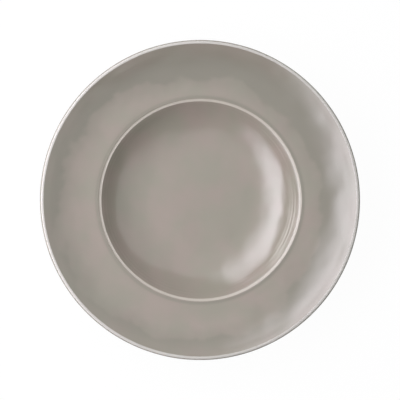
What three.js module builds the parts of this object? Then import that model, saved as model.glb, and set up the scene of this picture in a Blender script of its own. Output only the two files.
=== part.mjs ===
// A pasta plate with a deep well and a wide upswept rim: a fired ceramic body and four coats of glaze.
// The glaze breaks along three lines, so three bands of the body stay bare: the lip round the well, the
// crest of the rim's edge, and the foot ring.
// Millimetres, +Z up, with the origin on the table under the plate's centre.

import * as THREE from "three";

// Driving dimensions of the fired body
const plateDiameter = 290;
const wellMouthDiameter = 183; // at the crest of the lip
const wellDepth = 20.5; // from the crest of the lip down to the well's floor
const wallAngle = 45; // degrees from level, where the well's wall meets the lip
const lipRadius = 2.5; // rounding of the lip's crest
const lipHeight = 0.3; // crest of the lip above the bottom of the crease beside it
const creaseRadius = 12; // hollow between the lip and the rim
const rimAngle = 30; // degrees that the rim has turned up when it reaches the edge
const rimThickness = 4.2;
const wallThickness = 4.8;
const floorThickness = 5.4;
const neckRadius = 9; // hollow under the rim, against the outside of the well
const footDiameter = 100; // outer edge of the flat that stands on the table
const footWidth = 3.2; // width of that flat
const footHeight = 3; // from the table up to the recess inside the foot ring
const footDraft = 14; // degrees that the foot ring's two flanks lean towards each other
const footCornerRadius = 0.8;
const footFilletRadius = 1.8; // hollow where the foot ring joins the body

// Driving dimensions of the glaze
const glazeThickness = 0.35;
const glazeFeather = 3; // length over which a coat thins to nothing beside a bare band
const lipBareInside = 12; // degrees of slope where the well's coat breaks on the lip
const lipBareOutside = 8; // degrees of slope where the rim's coat breaks on the lip
const edgeBareInside = 18; // degrees of slope where the rim's coat breaks on the edge
const edgeBareOutside = 24; // degrees of slope where the underside's coat breaks on the edge

// Fineness of the facets
const facetsAround = 56;
const facetSag = 0.2; // an arc's chords stay this close to it
const facetTurn = 26; // degrees that one chord of a tight arc turns at most

const radians = THREE.MathUtils.degToRad;
const at = (radius, height) => new THREE.Vector2(radius, height);

// The direction of a polar angle in degrees, with 0 away from the axis and 90 up.
const towards = (angle) => at(Math.cos(radians(angle)), Math.sin(radians(angle)));

// Profiles lie in the half plane of radius and height. They run from the axis over the top of the plate to
// its edge and back underneath, with the clay on their right. Each station is a point of the body's surface
// and the direction in which that surface faces.

// An arc between two polar angles in degrees. Turning left it is a hollow and faces its centre.
function arc(centre, radius, from, to) {
  const sagTurn = 2 * Math.acos(Math.max(0, 1 - facetSag / radius));
  const turn = Math.min(sagTurn, radians(facetTurn));
  const steps = Math.ceil(radians(Math.abs(to - from)) / turn);
  const side = to > from ? -1 : 1;
  return Array.from({ length: steps + 1 }, (_, i) => {
    const spoke = towards(from + ((to - from) * i) / steps);
    return {
      point: centre.clone().addScaledVector(spoke, radius),
      facing: spoke.multiplyScalar(side),
    };
  });
}

// A station on the axis, level with a flat that faces up or down.
const onAxis = (height, up) => ({ point: at(0, height), facing: at(0, up) });

// Stretches drawn one after another become one, with a single station where two of them meet.
function join(...stretches) {
  const meeting = 1e-6;
  return stretches
    .flat()
    .filter((s, i, all) => i === 0 || s.point.distanceTo(all[i - 1].point) > meeting);
}

// Heights, from the table up
const floorHeight = footHeight + floorThickness;
const lipCrestHeight = floorHeight + wellDepth;
const creaseHeight = lipCrestHeight - lipHeight;

// The well's wall is one arc, tangent to the level floor and to the lip's rounding.
const wallRadius = wellDepth / (1 - Math.cos(radians(wallAngle))) - lipRadius;
const wellMouthRadius = wellMouthDiameter / 2;
const floorRadius = wellMouthRadius - (wallRadius + lipRadius) * Math.sin(radians(wallAngle));
const wallCentre = at(floorRadius, floorHeight + wallRadius);
const wallOuterRadius = wallRadius + wallThickness;

// The lip falls through the crease to the rim, which leaves it level.
const lipCentre = at(wellMouthRadius, lipCrestHeight - lipRadius);
const lipFall = THREE.MathUtils.radToDeg(Math.acos(1 - lipHeight / (lipRadius + creaseRadius)));
const creaseEnd = wellMouthRadius + (lipRadius + creaseRadius) * Math.sin(radians(lipFall));
const creaseCentre = at(creaseEnd, creaseHeight + creaseRadius);

// The rim turns up on one wide arc and ends in a full round as thick as the rim.
const edgeRadius = rimThickness / 2;
const edgeCentreRadius = plateDiameter / 2 - edgeRadius;
const rimRadius = (edgeCentreRadius - creaseEnd) / Math.sin(radians(rimAngle)) - edgeRadius;
const rimOuterRadius = rimRadius + rimThickness;
const rimCentre = at(creaseEnd, creaseHeight + rimRadius);
const edgeCentre = rimCentre.clone().addScaledVector(towards(rimAngle - 90), rimRadius + edgeRadius);

// The neck is a hollow tangent to the outside of the wall and to the underside of the rim.
const toRim = rimCentre.clone().sub(wallCentre);
const neckReach = wallOuterRadius + neckRadius;
const neckReachSpare = neckReach ** 2 - (rimOuterRadius + neckRadius) ** 2;
const neckAlong = (neckReachSpare + toRim.lengthSq()) / (2 * toRim.length());
const neckAside = Math.sqrt(neckReach ** 2 - neckAlong ** 2);
const rimWay = toRim.normalize();
const neckCentre = wallCentre
  .clone()
  .addScaledVector(rimWay, neckAlong)
  .addScaledVector(at(rimWay.y, -rimWay.x), neckAside);

// The foot ring's two corners stand on the table, and its outer flank meets the wall in a hollow.
const footOuterCorner = at(footDiameter / 2, footCornerRadius);
const footInnerCorner = at(footDiameter / 2 - footWidth, footCornerRadius);
const filletOffset = footCornerRadius + footFilletRadius;
const flankFoot = footOuterCorner.clone().addScaledVector(towards(-footDraft), filletOffset);
const flankUp = towards(90 - footDraft);
const toWall = wallCentre.clone().sub(flankFoot);
const flankMiddle = toWall.dot(flankUp);
const filletReach = wallOuterRadius + footFilletRadius;
const flankShare = Math.sqrt(filletReach ** 2 - (toWall.lengthSq() - flankMiddle ** 2));
const outerFillet = flankFoot.clone().addScaledVector(flankUp, flankMiddle - flankShare);

// Inside the ring the flank meets the level recess in the same hollow.
const innerFilletHeight = footHeight - footFilletRadius;
const innerLean = (innerFilletHeight - footCornerRadius) * Math.sin(radians(footDraft));
const innerFilletIn = (filletOffset + innerLean) / Math.cos(radians(footDraft));
const innerFillet = at(footInnerCorner.x - innerFilletIn, innerFilletHeight);

const angleOf = (centre, target) =>
  THREE.MathUtils.radToDeg(Math.atan2(target.y - centre.y, target.x - centre.x));
const neckToRim = angleOf(rimCentre, neckCentre);
const neckToWall = angleOf(wallCentre, neckCentre);
const filletToWall = angleOf(wallCentre, outerFillet);

// The stretches of the body's surface, in order. The lip, the edge and the foot stay bare, and a coat of
// glaze covers each of the other four.
const well = join(
  [onAxis(floorHeight, 1)],
  arc(wallCentre, wallRadius, -90, wallAngle - 90),
  arc(lipCentre, lipRadius, wallAngle + 90, lipBareInside + 90),
);
const lip = arc(lipCentre, lipRadius, lipBareInside + 90, 90 - lipBareOutside);
const rim = join(
  arc(lipCentre, lipRadius, 90 - lipBareOutside, 90 - lipFall),
  arc(creaseCentre, creaseRadius, -lipFall - 90, -90),
  arc(rimCentre, rimRadius, -90, rimAngle - 90),
  arc(edgeCentre, edgeRadius, rimAngle + 90, edgeBareInside + 90),
);
const edge = arc(edgeCentre, edgeRadius, edgeBareInside + 90, 90 - edgeBareOutside);
const underside = join(
  arc(edgeCentre, edgeRadius, 90 - edgeBareOutside, rimAngle - 90),
  arc(rimCentre, rimOuterRadius, rimAngle - 90, neckToRim),
  arc(neckCentre, neckRadius, neckToRim + 180, neckToWall + 180),
  arc(wallCentre, wallOuterRadius, neckToWall, filletToWall),
  arc(outerFillet, footFilletRadius, filletToWall + 180, 180 - footDraft),
);
const foot = join(
  arc(footOuterCorner, footCornerRadius, -footDraft, -90),
  arc(footInnerCorner, footCornerRadius, -90, footDraft - 180),
);
const recess = join(arc(innerFillet, footFilletRadius, footDraft, 90), [onAxis(footHeight, -1)]);

// A closed profile turned about the axis. The lathe takes its outline with the clay on the left.
function turn(outline) {
  return new THREE.LatheGeometry(outline.toReversed(), facetsAround);
}

// The body is every stretch in order, from the axis round the edge and back to the axis.
function turnBody() {
  return turn(join(well, lip, rim, edge, underside, foot, recess).map((station) => station.point));
}

// A coat lies on its stretch of the body, and feathers out towards each end that isn't on the axis.
function turnCoat(stretch) {
  const run = [0];
  for (let i = 1; i < stretch.length; i++) {
    run.push(run[i - 1] + stretch[i].point.distanceTo(stretch[i - 1].point));
  }
  const length = run.at(-1);
  const startsBare = stretch[0].point.x > 0;
  const endsBare = stretch.at(-1).point.x > 0;
  const skin = stretch.map(({ point, facing }, i) => {
    const fromStart = startsBare ? run[i] : length;
    const fromEnd = endsBare ? length - run[i] : length;
    const share = Math.min(1, Math.min(fromStart, fromEnd) / glazeFeather);
    return { point: point.clone().addScaledVector(facing, glazeThickness * share) };
  });
  const outline = join(skin, stretch.toReversed()).map((station) => station.point);
  return turn(startsBare && endsBare ? [...outline.slice(0, -1), outline[0]] : outline);
}

const glazeFinish = { color: 0xa59d94, roughness: 0.18, metalness: 0 };
const bareFinish = { color: 0xc8bfb5, roughness: 0.55, metalness: 0 };

function piece(name, geometry, finish) {
  const mesh = new THREE.Mesh(geometry, new THREE.MeshStandardMaterial(finish));
  mesh.name = name;
  return mesh;
}

// The lathe turns about Y, so the plate is stood up along Z.
const plate = new THREE.Group();
plate.rotation.x = Math.PI / 2;
plate.add(
  piece("plate_body", turnBody(), bareFinish),
  piece("well_glaze", turnCoat(well), glazeFinish),
  piece("rim_glaze", turnCoat(rim), glazeFinish),
  piece("underside_glaze", turnCoat(underside), glazeFinish),
  piece("foot_recess_glaze", turnCoat(recess), glazeFinish),
);

const part = new THREE.Group();
part.add(plate);

export default part;
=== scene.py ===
# A glazed ceramic pasta plate, seen from above: the fired body and the four coats of glaze that lie on it.
import math

import bmesh
import bpy
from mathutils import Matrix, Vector, noise


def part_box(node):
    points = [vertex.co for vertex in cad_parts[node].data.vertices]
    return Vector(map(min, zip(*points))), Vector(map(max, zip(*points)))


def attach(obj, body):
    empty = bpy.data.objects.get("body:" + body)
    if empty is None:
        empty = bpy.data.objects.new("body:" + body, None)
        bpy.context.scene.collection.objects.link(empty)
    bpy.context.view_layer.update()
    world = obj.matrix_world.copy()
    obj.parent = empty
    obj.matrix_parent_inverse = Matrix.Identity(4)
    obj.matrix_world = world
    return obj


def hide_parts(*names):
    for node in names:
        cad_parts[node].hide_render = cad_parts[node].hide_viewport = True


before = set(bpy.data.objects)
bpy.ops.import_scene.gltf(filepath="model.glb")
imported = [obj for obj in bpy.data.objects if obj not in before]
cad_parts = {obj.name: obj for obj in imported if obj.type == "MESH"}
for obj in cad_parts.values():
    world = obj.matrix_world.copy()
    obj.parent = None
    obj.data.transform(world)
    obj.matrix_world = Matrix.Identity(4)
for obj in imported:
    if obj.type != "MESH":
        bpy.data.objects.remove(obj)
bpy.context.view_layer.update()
mm = 0.001  # metres

plate = {  # millimetres, and degrees from level
    "wellMouth": 186.6, "wellDepth": 20.25, "wallAngle": 45, "wallThick": 4.8,
    "lipRound": 6.5, "lipHeight": 0.07, "creaseRound": 6,
    "rimAngle": 30, "rimThick": 4.2, "neckRound": 9,
    "footAcross": 100, "footFlat": 3.2, "footDraft": 14, "footCorner": 0.8, "footFillet": 1.8,
    "lipBareIn": 24.5, "lipBareOut": -11.5,  # the lip is bare on its inner flank
    "edgeBareIn": 18, "edgeBareOut": 24,
    "step": 1.6, "tightTurn": 9, "around": 240,  # fineness of the mesh
    "meeting": 0.001, "weld": 0.0005,
}


def heading(degrees):  # in the plane of the profile, 0 points away from the axis and 90 up
    turn = math.radians(degrees)
    return Vector((math.cos(turn), 0, math.sin(turn)))


def sine(degrees):
    return math.sin(math.radians(degrees))


def cosine(degrees):
    return math.cos(math.radians(degrees))


def angleTo(centre, target):  # degrees, from one centre to another
    way = target - centre
    return math.degrees(math.atan2(way.z, way.x))


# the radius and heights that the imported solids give, in millimetres
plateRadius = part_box("plate_body")[1].x / mm
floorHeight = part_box("well_glaze")[0].z / mm
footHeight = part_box("foot_recess_glaze")[1].z / mm

# the well's wall is one arc between the level floor and the round lip
mouthRadius = plate["wellMouth"] / 2
lipTop = floorHeight + plate["wellDepth"]
wallRound = plate["wellDepth"] / (1 - cosine(plate["wallAngle"])) - plate["lipRound"]
wallOuter = wallRound + plate["wallThick"]
floorRadius = mouthRadius - (wallRound + plate["lipRound"]) * sine(plate["wallAngle"])
wallCentre = Vector((floorRadius, 0, floorHeight + wallRound))
lipCentre = Vector((mouthRadius, 0, lipTop - plate["lipRound"]))

# the crease leads from the lip to the rim, which starts level
rimHeight = lipTop - plate["lipHeight"]
lipReach = plate["lipRound"] + plate["creaseRound"]
lipFall = math.degrees(math.acos(1 - plate["lipHeight"] / lipReach))
creaseRadius = mouthRadius + lipReach * sine(lipFall)
creaseCentre = Vector((creaseRadius, 0, rimHeight + plate["creaseRound"]))

# the rim turns up on one wide arc and ends in a full round
edgeRound = plate["rimThick"] / 2
rimRound = (plateRadius - edgeRound - creaseCentre.x) / sine(plate["rimAngle"]) - edgeRound
rimUnder = rimRound + plate["rimThick"]
rimCentre = Vector((creaseCentre.x, 0, rimHeight + rimRound))
edgeCentre = rimCentre + (rimRound + edgeRound) * heading(plate["rimAngle"] - 90)

# the neck is a hollow that touches the outside of the wall and the underside of the rim
toRim = rimCentre - wallCentre
neckReach = wallOuter + plate["neckRound"]
neckSpare = neckReach ** 2 - (rimUnder + plate["neckRound"]) ** 2
neckAlong = (neckSpare + toRim.length_squared) / (2 * toRim.length)
neckAside = math.sqrt(neckReach ** 2 - neckAlong ** 2)
rimWay = toRim.normalized()
neckCentre = wallCentre + neckAlong * rimWay + neckAside * Vector((rimWay.z, 0, -rimWay.x))

# the foot ring stands on two rounded corners and meets the body in a hollow on either side
footOut = Vector((plate["footAcross"] / 2, 0, plate["footCorner"]))
footIn = footOut - Vector((plate["footFlat"], 0, 0))
filletReach = plate["footCorner"] + plate["footFillet"]
flankFoot = footOut + filletReach * heading(-plate["footDraft"])
flankUp = heading(90 - plate["footDraft"])
toWall = wallCentre - flankFoot
flankMiddle = toWall.dot(flankUp)
filletSpan = wallOuter + plate["footFillet"]
flankShare = math.sqrt(filletSpan ** 2 - toWall.length_squared + flankMiddle ** 2)
filletOut = flankFoot + (flankMiddle - flankShare) * flankUp
filletHeight = footHeight - plate["footFillet"]
filletLean = (filletHeight - plate["footCorner"]) * sine(plate["footDraft"])
filletRadius = footIn.x - (filletReach + filletLean) / cosine(plate["footDraft"])
filletIn = Vector((filletRadius, 0, filletHeight))
neckTurn = angleTo(wallCentre, neckCentre)
rimNeckTurn = angleTo(rimCentre, neckCentre)
filletTurn = angleTo(wallCentre, filletOut)

# each stretch of the surface is a row of arcs: centre, radius, and the degrees it starts and ends at
wellArcs = [
    (Vector((0, 0, floorHeight)), 0, 90, 90),
    (wallCentre, wallRound, -90, plate["wallAngle"] - 90),
    (lipCentre, plate["lipRound"], plate["wallAngle"] + 90, plate["lipBareIn"] + 90),
]
lipArcs = [(lipCentre, plate["lipRound"], plate["lipBareIn"] + 90, 90 - plate["lipBareOut"])]
rimArcs = [
    (lipCentre, plate["lipRound"], 90 - plate["lipBareOut"], 90 - lipFall),
    (creaseCentre, plate["creaseRound"], -lipFall - 90, -90),
    (rimCentre, rimRound, -90, plate["rimAngle"] - 90),
    (edgeCentre, edgeRound, plate["rimAngle"] + 90, plate["edgeBareIn"] + 90),
]
edgeArcs = [(edgeCentre, edgeRound, plate["edgeBareIn"] + 90, 90 - plate["edgeBareOut"])]
undersideArcs = [
    (edgeCentre, edgeRound, 90 - plate["edgeBareOut"], plate["rimAngle"] - 90),
    (rimCentre, rimUnder, plate["rimAngle"] - 90, rimNeckTurn),
    (neckCentre, plate["neckRound"], rimNeckTurn + 180, neckTurn + 180),
    (wallCentre, wallOuter, neckTurn, filletTurn),
    (filletOut, plate["footFillet"], filletTurn + 180, 180 - plate["footDraft"]),
]
footArcs = [
    (footOut, plate["footCorner"], -plate["footDraft"], -90),
    (footIn, plate["footCorner"], -90, plate["footDraft"] - 180),
]
recessArcs = [
    (filletIn, plate["footFillet"], plate["footDraft"], 90),
    (Vector((0, 0, footHeight)), 0, -90, -90),
]
print("profile: rim", round(edgeCentre.z + edgeRound, 2), "mm high, wall round", round(wallRound, 1), "mm")


def sweepTip(bm, tip, centre, turn, travel, steps):  # draws on from the profile's last point
    spun = bmesh.ops.spin(bm, geom=[tip], cent=centre, axis=(0, -1, 0), angle=turn, dvec=travel,
                          steps=steps)
    return next(part for part in spun["geom_last"] if isinstance(part, bmesh.types.BMVert))


def drawArc(bm, tip, arc):
    centre, radius, start, end = arc
    begin = centre + radius * heading(start)
    if tip is None:
        tip = bm.verts.new(begin)
    gap = begin - tip.co
    if gap.length > plate["meeting"]:  # a straight run to where the arc begins
        steps = math.ceil(gap.length / plate["step"])
        tip = sweepTip(bm, tip, (0, 0, 0), 0, gap / steps, steps)
    turn = abs(end - start)
    stepsByLength = math.ceil(math.radians(turn) * radius / plate["step"])
    steps = max(stepsByLength, math.ceil(turn / plate["tightTurn"]))
    if steps == 0:  # a point on the axis
        return tip
    return sweepTip(bm, tip, centre, math.radians(end - start), (0, 0, 0), steps)


def turnArcs(arcs):  # the arcs drawn one after another and spun about the plate's axis
    bm = bmesh.new()
    tip = None
    for arc in arcs:
        tip = drawArc(bm, tip, arc)
    profile = bm.verts[:] + bm.edges[:]
    bmesh.ops.spin(bm, geom=profile, cent=(0, 0, 0), axis=(0, 0, 1), angle=math.tau,
                   steps=plate["around"], use_merge=True)
    bmesh.ops.remove_doubles(bm, verts=bm.verts[:], dist=plate["weld"])
    bmesh.ops.recalc_face_normals(bm, faces=bm.faces[:])
    return bm


def finishPiece(bm, name, material):
    bmesh.ops.scale(bm, vec=(mm, mm, mm), verts=bm.verts[:])
    mesh = bpy.data.meshes.new(name)
    bm.to_mesh(mesh)
    bm.free()
    mesh.shade_smooth()
    mesh.materials.append(material)
    piece = bpy.data.objects.new(name, mesh)
    bpy.context.collection.objects.link(piece)
    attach(piece, "root")
    return piece


def linear(hexColour):  # sRGB hex to the linear colour that a shader socket takes
    channels = [int(hexColour[i:i + 2], 16) / 255 for i in (1, 3, 5)]
    return [c / 12.92 if c <= 0.04045 else ((c + 0.055) / 1.055) ** 2.4 for c in channels] + [1]


def addNode(tree, kind, inputs=None, **settings):
    node = tree.nodes.new(kind)
    for name, value in settings.items():
        setattr(node, name, value)
    for name, value in (inputs or {}).items():
        if isinstance(value, bpy.types.NodeSocket):
            tree.links.new(value, node.inputs[name])
        else:
            node.inputs[name].default_value = value
    return node


def startMaterial(name):
    material = bpy.data.materials.new(name)
    material.use_nodes = True
    material.node_tree.nodes.clear()
    return material, material.node_tree


paleLook = {"lipClay": "#c0b8ac", "edgeClay": "#cbc7c0", "lipZoneTop": 31 * mm, "edgeZoneFoot": 37 * mm}


def paleClay(tree, height, look):  # the pale lines are lighter along the edge than along the lip
    toEdge = addNode(tree, "ShaderNodeMapRange", {
        "Value": height, "From Min": look["lipZoneTop"], "From Max": look["edgeZoneFoot"]})
    clay = addNode(tree, "ShaderNodeMix", {
        "Factor": toEdge.outputs["Result"], "A": linear(look["lipClay"]), "B": linear(look["edgeClay"]),
    }, data_type="RGBA")
    return clay.outputs["Result"]


glazeLook = {
    "warmGrey": "#9f948a", "coolGrey": "#999487", "poolAndShadeGrey": "#888478",
    "tintSize": 27 * mm, "tintLow": 0.35, "tintHigh": 0.65,
    "fadeEnd": 1.1, "fadeJitter": 0.4, "jitterSize": 5 * mm,  # the fade is in millimetres from a break
    "cloudSize": 34 * mm, "cloudLow": 0.3, "cloudHigh": 0.7, "roughLow": 0.05, "roughHigh": 0.1,
    "refraction": 1.7, "peelSize": 6 * mm, "peelDepth": 0.004 * mm,
    "ringSpacing": 2.4 * mm, "ringDepth": 0.045 * mm, "ringWander": 0.6,
}
waveRepeat = math.tau / 20  # a wave texture at scale 1 repeats after this length


def makeGlaze(look):
    # Stoneware glaze, poured and fired to a gloss: clouded grey, dark where thick, with the same dark grey
    # painted as shade along the outside of the edge and on the outer rim, and pale where it breaks
    material, tree = startMaterial("pouredGlossGlaze")
    place = addNode(tree, "ShaderNodeTexCoord").outputs["Object"]
    height = addNode(tree, "ShaderNodeSeparateXYZ", {"Vector": place}).outputs["Z"]

    tint = addNode(tree, "ShaderNodeTexNoise", {
        "Vector": place, "Scale": 1 / look["tintSize"], "Detail": 2})
    spread = addNode(tree, "ShaderNodeMapRange", {
        "Value": tint.outputs["Fac"], "From Min": look["tintLow"], "From Max": look["tintHigh"]})
    grey = addNode(tree, "ShaderNodeMix", {
        "Factor": spread.outputs["Result"], "A": linear(look["warmGrey"]), "B": linear(look["coolGrey"]),
    }, data_type="RGBA")
    # the dark grey marks darker glaze in the crease and beside the foot, and painted shade along the
    # outside of the edge and on the outer rim
    poolAndShade = addNode(tree, "ShaderNodeAttribute", attribute_name="poolAndShade")
    thick = addNode(tree, "ShaderNodeMix", {
        "Factor": poolAndShade.outputs["Fac"], "A": grey.outputs["Result"], "B": linear(look["poolAndShadeGrey"]),
    }, data_type="RGBA")

    fromBreak = addNode(tree, "ShaderNodeAttribute", attribute_name="fromBreak")
    jitter = addNode(tree, "ShaderNodeTexNoise", {
        "Vector": place, "Scale": 1 / look["jitterSize"], "Detail": 2})
    moved = addNode(tree, "ShaderNodeMath", {
        0: jitter.outputs["Fac"], 1: look["fadeJitter"], 2: fromBreak.outputs["Fac"],
    }, operation="MULTIPLY_ADD")
    cover = addNode(tree, "ShaderNodeMapRange", {
        "Value": moved.outputs[0], "From Min": look["fadeJitter"] / 2, "From Max": look["fadeEnd"],
    }, interpolation_type="SMOOTHSTEP")
    colour = addNode(tree, "ShaderNodeMix", {
        "Factor": cover.outputs["Result"], "A": paleClay(tree, height, paleLook),
        "B": thick.outputs["Result"],
    }, data_type="RGBA")

    clouds = addNode(tree, "ShaderNodeTexNoise", {
        "Vector": place, "Scale": 1 / look["cloudSize"], "Detail": 3})
    rough = addNode(tree, "ShaderNodeMapRange", {
        "Value": clouds.outputs["Fac"], "From Min": look["cloudLow"], "From Max": look["cloudHigh"],
        "To Min": look["roughLow"], "To Max": look["roughHigh"]})

    peel = addNode(tree, "ShaderNodeTexNoise", {
        "Vector": place, "Scale": 1 / look["peelSize"], "Detail": 1})
    peelBump = addNode(tree, "ShaderNodeBump", {
        "Height": peel.outputs["Fac"], "Distance": look["peelDepth"]})
    rings = addNode(tree, "ShaderNodeTexWave", {
        "Vector": place, "Scale": waveRepeat / look["ringSpacing"], "Distortion": look["ringWander"],
        "Detail": 1,
    }, wave_type="RINGS", rings_direction="Z")
    ringed = addNode(tree, "ShaderNodeAttribute", attribute_name="ringed")
    ringBump = addNode(tree, "ShaderNodeBump", {
        "Height": rings.outputs["Fac"], "Strength": ringed.outputs["Fac"], "Distance": look["ringDepth"],
        "Normal": peelBump.outputs["Normal"]})
    shader = addNode(tree, "ShaderNodeBsdfPrincipled", {
        "Base Color": colour.outputs["Result"], "IOR": look["refraction"],
        "Roughness": rough.outputs["Result"], "Normal": ringBump.outputs["Normal"]})
    addNode(tree, "ShaderNodeOutputMaterial", {"Surface": shader.outputs[0]})
    return material


clayLook = {
    "bareClay": "#cdc4b8", "rubbedClay": "#aaa196", "rubSize": 14 * mm, "rubLow": 0.45, "rubHigh": 0.75,
    "footTop": 3.4 * mm, "footFade": 0.4 * mm, "sealRough": 0.08, "bareRough": 0.62, "refraction": 1.82,
    "grainSize": 0.9 * mm, "grainDepth": 0.03 * mm,  # real grit is finer, drawn coarser so that it shows
}


def makeClay(look):
    # White stoneware, pressed and fired: a trace of glaze seals the pale lines, and the foot is dull
    material, tree = startMaterial("firedWhiteStoneware")
    place = addNode(tree, "ShaderNodeTexCoord").outputs["Object"]
    height = addNode(tree, "ShaderNodeSeparateXYZ", {"Vector": place}).outputs["Z"]
    bare = addNode(tree, "ShaderNodeMapRange", {
        "Value": height, "From Min": look["footTop"], "From Max": look["footTop"] + look["footFade"],
        "To Min": 1, "To Max": 0})

    rub = addNode(tree, "ShaderNodeTexNoise", {
        "Vector": place, "Scale": 1 / look["rubSize"], "Detail": 4})
    rubbed = addNode(tree, "ShaderNodeMapRange", {
        "Value": rub.outputs["Fac"], "From Min": look["rubLow"], "From Max": look["rubHigh"]})
    footClay = addNode(tree, "ShaderNodeMix", {
        "Factor": rubbed.outputs["Result"], "A": linear(look["bareClay"]), "B": linear(look["rubbedClay"]),
    }, data_type="RGBA")
    colour = addNode(tree, "ShaderNodeMix", {
        "Factor": bare.outputs["Result"], "A": paleClay(tree, height, paleLook),
        "B": footClay.outputs["Result"],
    }, data_type="RGBA")

    rough = addNode(tree, "ShaderNodeMapRange", {
        "Value": bare.outputs["Result"], "To Min": look["sealRough"], "To Max": look["bareRough"]})
    grain = addNode(tree, "ShaderNodeTexNoise", {
        "Vector": place, "Scale": 1 / look["grainSize"], "Detail": 3})
    bump = addNode(tree, "ShaderNodeBump", {
        "Height": grain.outputs["Fac"], "Strength": bare.outputs["Result"], "Distance": look["grainDepth"]})
    shader = addNode(tree, "ShaderNodeBsdfPrincipled", {
        "Base Color": colour.outputs["Result"], "IOR": look["refraction"],
        "Roughness": rough.outputs["Result"], "Normal": bump.outputs["Normal"]})
    addNode(tree, "ShaderNodeOutputMaterial", {"Surface": shader.outputs[0]})
    return material


def makeBody():
    arcs = wellArcs + lipArcs + rimArcs + edgeArcs + undersideArcs + footArcs + recessArcs
    body = finishPiece(turnArcs(arcs), "firedBody", makeClay(clayLook))
    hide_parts("plate_body")


coatForm = {  # millimetres
    "swell": 46, "ripple": 19, "curl": 9,  # widths of the unevenness
    "ringsFrom": 19, "ringsFull": 24,  # the forming tool's rings come in between these heights
    "feather": 7, "breakDepth": 0.02,
}
coatLooks = {  # depths and rises in millimetres
    "wellCoat": {"node": "well_glaze", "arcs": wellArcs, "facesUp": True, "ringed": 1,
                 "depth": 0.4, "swellRise": 0.12, "rippleRise": 0.18, "curlRise": 0.05},
    "rimCoat": {"node": "rim_glaze", "arcs": rimArcs, "facesUp": True, "ringed": 0,
                "depth": 0.4, "swellRise": 0.12, "rippleRise": 0.18, "curlRise": 0.05},
    "undersideCoat": {"node": "underside_glaze", "arcs": undersideArcs, "facesUp": False, "ringed": 0,
                      "depth": 0.4, "swellRise": 0.072, "rippleRise": 0.108, "curlRise": 0},
    "footRecessCoat": {"node": "foot_recess_glaze", "arcs": recessArcs, "facesUp": False, "ringed": 0,
                       "depth": 0.4, "swellRise": 0.072, "rippleRise": 0.108, "curlRise": 0},
}
breakPoints = [  # where the coats break off beside the lip, the edge and the foot
    lipCentre + plate["lipRound"] * heading(90 + plate["lipBareIn"]),
    lipCentre + plate["lipRound"] * heading(90 - plate["lipBareOut"]),
    edgeCentre + edgeRound * heading(90 + plate["edgeBareIn"]),
    edgeCentre + edgeRound * heading(90 - plate["edgeBareOut"]),
    footOut + plate["footCorner"] * heading(-plate["footDraft"]),
    footIn + plate["footCorner"] * heading(plate["footDraft"] - 180),
]


def glazeDepth(place, fromBreak, look):  # how thick the coat lies here
    full = look["depth"]
    for width in ("swell", "ripple", "curl"):
        full += 2 * look[width + "Rise"] * noise.noise(place / coatForm[width])
    cover = min(1, fromBreak / coatForm["feather"])
    return max(coatForm["breakDepth"], full * cover)


poolAndEdgeShadeForm = {  # millimetres, degrees round an arc, and how dark the glaze is; the darkness at the outside of the edge is painted shade
    "reach": 1.6, "dark": 0.7, "edgeShadeDark": 1, "edgeTurn": 10, "footTurn": 200, "recessTurn": 60,
}
poolsAndEdgeShade = [  # darker glaze in the crease and where glaze runs together either side of the foot, and a painted shade along the outside of the edge
    (creaseCentre + plate["creaseRound"] * heading(-90 - lipFall), poolAndEdgeShadeForm["dark"]),
    # painted shade: a dark line on the outside of the edge
    (edgeCentre + edgeRound * heading(poolAndEdgeShadeForm["edgeTurn"]), poolAndEdgeShadeForm["edgeShadeDark"]),
    (filletOut + plate["footFillet"] * heading(filletTurn + poolAndEdgeShadeForm["footTurn"]), poolAndEdgeShadeForm["dark"]),
    (filletIn + plate["footFillet"] * heading(poolAndEdgeShadeForm["recessTurn"]), poolAndEdgeShadeForm["dark"]),
]


def poolAndEdgeShadeDepth(section):  # how dark the glaze is beside a pool, or the painted shade beside the edge
    reach = poolAndEdgeShadeForm["reach"]
    return max(dark * math.exp(-((section - point).length / reach) ** 2) for point, dark in poolsAndEdgeShade)


shadeBandForm = {  # the painted shade band on the outer rim: millimetres, and shares of the darkness
    "radius": 121, "aside": (-9, -8), "wobble": 9, "wave": 23, "frill": 4, "frillWave": 8,
    "softWidth": 20, "softStart": 0.9, "softShare": 0.5,
    "crispWidth": 5, "crispStart": 0.5, "crispShare": 0.4,
    "edgeShare": 0.4, "edgeFadeLength": 30,
}


def smoothStep(share):
    share = min(1, max(0, share))
    return share * share * (3 - 2 * share)


def shadeBandDepth(place, fromBreak):  # painted shade: a wavy darker band over the outer rim, set off centre, standing in for where the rim reflects less light
    across = Vector((place.x - shadeBandForm["aside"][0], place.y - shadeBandForm["aside"][1], 0))
    wobble = shadeBandForm["wobble"] * noise.noise(place / shadeBandForm["wave"])
    frill = shadeBandForm["frill"] * noise.noise(place / shadeBandForm["frillWave"])
    past = across.length - (shadeBandForm["radius"] + wobble + frill)
    soft = smoothStep(past / shadeBandForm["softWidth"] + shadeBandForm["softStart"])
    crisp = smoothStep(past / shadeBandForm["crispWidth"] + shadeBandForm["crispStart"])
    # the painted shade band is lighter near the break at the edge
    edgeFade = min(1, shadeBandForm["edgeShare"] + fromBreak / shadeBandForm["edgeFadeLength"])
    return (shadeBandForm["softShare"] * soft + shadeBandForm["crispShare"] * crisp) * edgeFade


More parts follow.
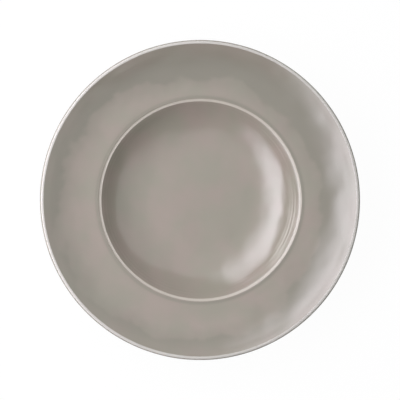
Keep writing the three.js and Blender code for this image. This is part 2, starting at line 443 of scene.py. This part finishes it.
def makeCoat(name, look, glaze):
    bm = turnArcs(look["arcs"])
    if (sum(face.normal.z for face in bm.faces) > 0) != look["facesUp"]:
        bmesh.ops.reverse_faces(bm, faces=bm.faces[:])
    breakLayer = bm.verts.layers.float.new("fromBreak")
    poolAndShadeLayer = bm.verts.layers.float.new("poolAndShade")
    depthLayer = bm.verts.layers.deform.verify()
    ringLayer = bm.verts.layers.float.new("ringed")
    most = look["depth"] + 2 * (look["swellRise"] + look["rippleRise"] + look["curlRise"])
    for vert in bm.verts:
        section = Vector((math.hypot(vert.co.x, vert.co.y), 0, vert.co.z))
        fromBreak = min((section - point).length for point in breakPoints)
        climb = (vert.co.z - coatForm["ringsFrom"]) / (coatForm["ringsFull"] - coatForm["ringsFrom"])
        vert[breakLayer] = fromBreak
        # one attribute holds the darker glaze and the painted shade of the edge and the outer rim
        vert[poolAndShadeLayer] = max(poolAndEdgeShadeDepth(section), shadeBandDepth(vert.co, fromBreak))
        vert[ringLayer] = look["ringed"] * min(1, max(0, climb))
        vert[depthLayer][0] = min(1, glazeDepth(vert.co, fromBreak, look) / most)
    coat = finishPiece(bm, name, glaze)
    coat.vertex_groups.new(name="glazeDepth")
    thick = coat.modifiers.new("thickness", "SOLIDIFY")
    thick.thickness = most * mm
    thick.offset = 1
    thick.vertex_group = "glazeDepth"
    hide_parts(look["node"])


makeBody()
glaze = makeGlaze(glazeLook)
for name, look in coatLooks.items():
    makeCoat(name, look, glaze)
print("pieces made: body and four coats of glaze")

floorLook = {"white": "#f4f4f4", "size": 12, "glow": 0.97, "shadowShare": 0.03}


def makeFloor(look):
    # Matt white paper sweep: reads as white to the eye and keeps a faint shadow
    material, tree = startMaterial("whitePaper")
    paths = addNode(tree, "ShaderNodeLightPath")
    seen = addNode(tree, "ShaderNodeMath", {
        0: paths.outputs["Is Camera Ray"], 1: paths.outputs["Is Glossy Ray"]}, operation="MAXIMUM")
    seenThrough = addNode(tree, "ShaderNodeMath", {
        0: seen.outputs[0], 1: paths.outputs["Is Transmission Ray"]}, operation="MAXIMUM")
    paper = addNode(tree, "ShaderNodeBsdfDiffuse", {"Color": linear(look["white"])})
    faint = addNode(tree, "ShaderNodeBsdfDiffuse", {"Color": [look["shadowShare"]] * 3 + [1]})
    glow = addNode(tree, "ShaderNodeEmission", {"Strength": look["glow"]})
    sweep = addNode(tree, "ShaderNodeAddShader", {0: faint.outputs[0], 1: glow.outputs[0]})
    top = addNode(tree, "ShaderNodeMixShader", {
        0: seenThrough.outputs[0], 1: paper.outputs[0], 2: sweep.outputs[0]})
    side = addNode(tree, "ShaderNodeNewGeometry")
    clear = addNode(tree, "ShaderNodeBsdfTransparent")
    surface = addNode(tree, "ShaderNodeMixShader", {
        0: side.outputs["Backfacing"], 1: top.outputs[0], 2: clear.outputs[0]})
    addNode(tree, "ShaderNodeOutputMaterial", {"Surface": surface.outputs[0]})
    bm = bmesh.new()
    bmesh.ops.create_grid(bm, x_segments=1, y_segments=1, size=look["size"] / 2)
    mesh = bpy.data.meshes.new("paperFloor")
    bm.to_mesh(mesh)
    bm.free()
    mesh.materials.append(material)
    floor = bpy.data.objects.new("paperFloor", mesh)
    bpy.context.collection.objects.link(floor)


lampLooks = {  # metres, radiance against white, and the share of each side over which a panel fades out
    "keySoftbox": {"place": (-0.572, 0.109, 0.743), "aim": (0, 0, 0), "wide": 3.2, "high": 1.0,
                   "bright": 5.38, "tint": "#faf7ff", "across": (0.5, 0.5), "upwards": (0.31, 0.59)},
    "lowCard": {"place": (-1.48, 0.54, 0.31), "aim": (0, 0, 0), "wide": 2.8, "high": 0.7,
                "bright": 3.3, "tint": "#ffffff", "across": (0.5, 0.5), "upwards": (0.4, 0.5)},
    "ceilingPanel": {"place": (1.3, 0.25, 2.0), "aim": (1.3, 0.25, 0), "wide": 4.8, "high": 4.3,
                     "bright": 0.62, "tint": "#fafffd", "across": (0.15, 0.1), "upwards": (0.26, 0.1)},
}


def makeSoftbox(name, look):  # a panel of light with soft borders
    light = bpy.data.lights.new(name, "AREA")
    light.shape = "RECTANGLE"
    light.size = look["wide"]
    light.size_y = look["high"]
    light.energy = look["bright"] * math.pi * look["wide"] * look["high"]
    light.color = linear(look["tint"])[:3]
    light.use_nodes = True
    tree = light.node_tree
    tree.nodes.clear()
    spot = addNode(tree, "ShaderNodeNewGeometry").outputs["Parametric"]
    share = addNode(tree, "ShaderNodeSeparateXYZ", {"Vector": spot})
    strength = 1
    for axis, (near, far) in (("X", look["across"]), ("Y", look["upwards"])):
        for border, full in ((0, near), (1, 1 - far)):
            fade = addNode(tree, "ShaderNodeMapRange", {
                "Value": share.outputs[axis], "From Min": border, "From Max": full,
            }, interpolation_type="SMOOTHSTEP")
            product = addNode(tree, "ShaderNodeMath", {
                0: fade.outputs["Result"], 1: strength}, operation="MULTIPLY")
            strength = product.outputs[0]
    glow = addNode(tree, "ShaderNodeEmission", {"Strength": strength})
    addNode(tree, "ShaderNodeOutputLight", {"Surface": glow.outputs[0]})
    lamp = bpy.data.objects.new(name, light)
    lamp.location = look["place"]
    lamp.rotation_euler = (Vector(look["aim"]) - lamp.location).to_track_quat("-Z", "Y").to_euler()
    lamp.visible_camera = False
    bpy.context.collection.objects.link(lamp)


worldLook = {"horizon": 1, "horizonTop": 0.02, "wallFoot": 0.08, "room": 0.02, "fill": 0.16}


def makeWorld(look):  # a dim room with a white horizon and a fill from behind
    world = bpy.data.worlds.new("studioRoom")
    world.use_nodes = True
    tree = world.node_tree
    tree.nodes.clear()
    way = addNode(tree, "ShaderNodeTexCoord").outputs["Generated"]
    axes = addNode(tree, "ShaderNodeSeparateXYZ", {"Vector": way})
    behind = addNode(tree, "ShaderNodeMath", {0: axes.outputs["Y"], 1: 0}, operation="MAXIMUM")
    walls = addNode(tree, "ShaderNodeMath", {
        0: behind.outputs[0], 1: look["fill"], 2: look["room"]}, operation="MULTIPLY_ADD")
    rise = addNode(tree, "ShaderNodeMapRange", {
        "Value": axes.outputs["Z"], "From Min": look["horizonTop"], "From Max": look["wallFoot"],
    }, interpolation_type="SMOOTHSTEP")
    room = addNode(tree, "ShaderNodeMix", {
        "Factor": rise.outputs["Result"], "A": look["horizon"], "B": walls.outputs[0]})
    paths = addNode(tree, "ShaderNodeLightPath")
    seen = addNode(tree, "ShaderNodeMath", {
        0: paths.outputs["Is Camera Ray"], 1: room.outputs["Result"]}, operation="MAXIMUM")
    back = addNode(tree, "ShaderNodeBackground", {"Strength": seen.outputs[0]})
    addNode(tree, "ShaderNodeOutputWorld", {"Surface": back.outputs[0]})
    bpy.context.scene.world = world


makeFloor(floorLook)
makeWorld(worldLook)
for name, look in lampLooks.items():
    makeSoftbox(name, look)

cameraLook = {"height": 1.85, "sensor": 36, "imagePixels": 400, "radiusPixels": 159.93}


def makeCamera(look):  # straight above, as far as a long lens stands back
    camera = bpy.data.cameras.new("topCamera")
    camera.sensor_width = look["sensor"]
    frameWide = look["imagePixels"] / look["radiusPixels"] * plateRadius * mm
    camera.lens = look["sensor"] * (look["height"] - edgeCentre.z * mm) / frameWide
    viewer = bpy.data.objects.new("topCamera", camera)
    viewer.location = (0, 0, look["height"])
    bpy.context.collection.objects.link(viewer)
    bpy.context.scene.camera = viewer


makeCamera(cameraLook)
bpy.context.scene.view_settings.view_transform = "Standard"
print("floor, lamps and camera set")
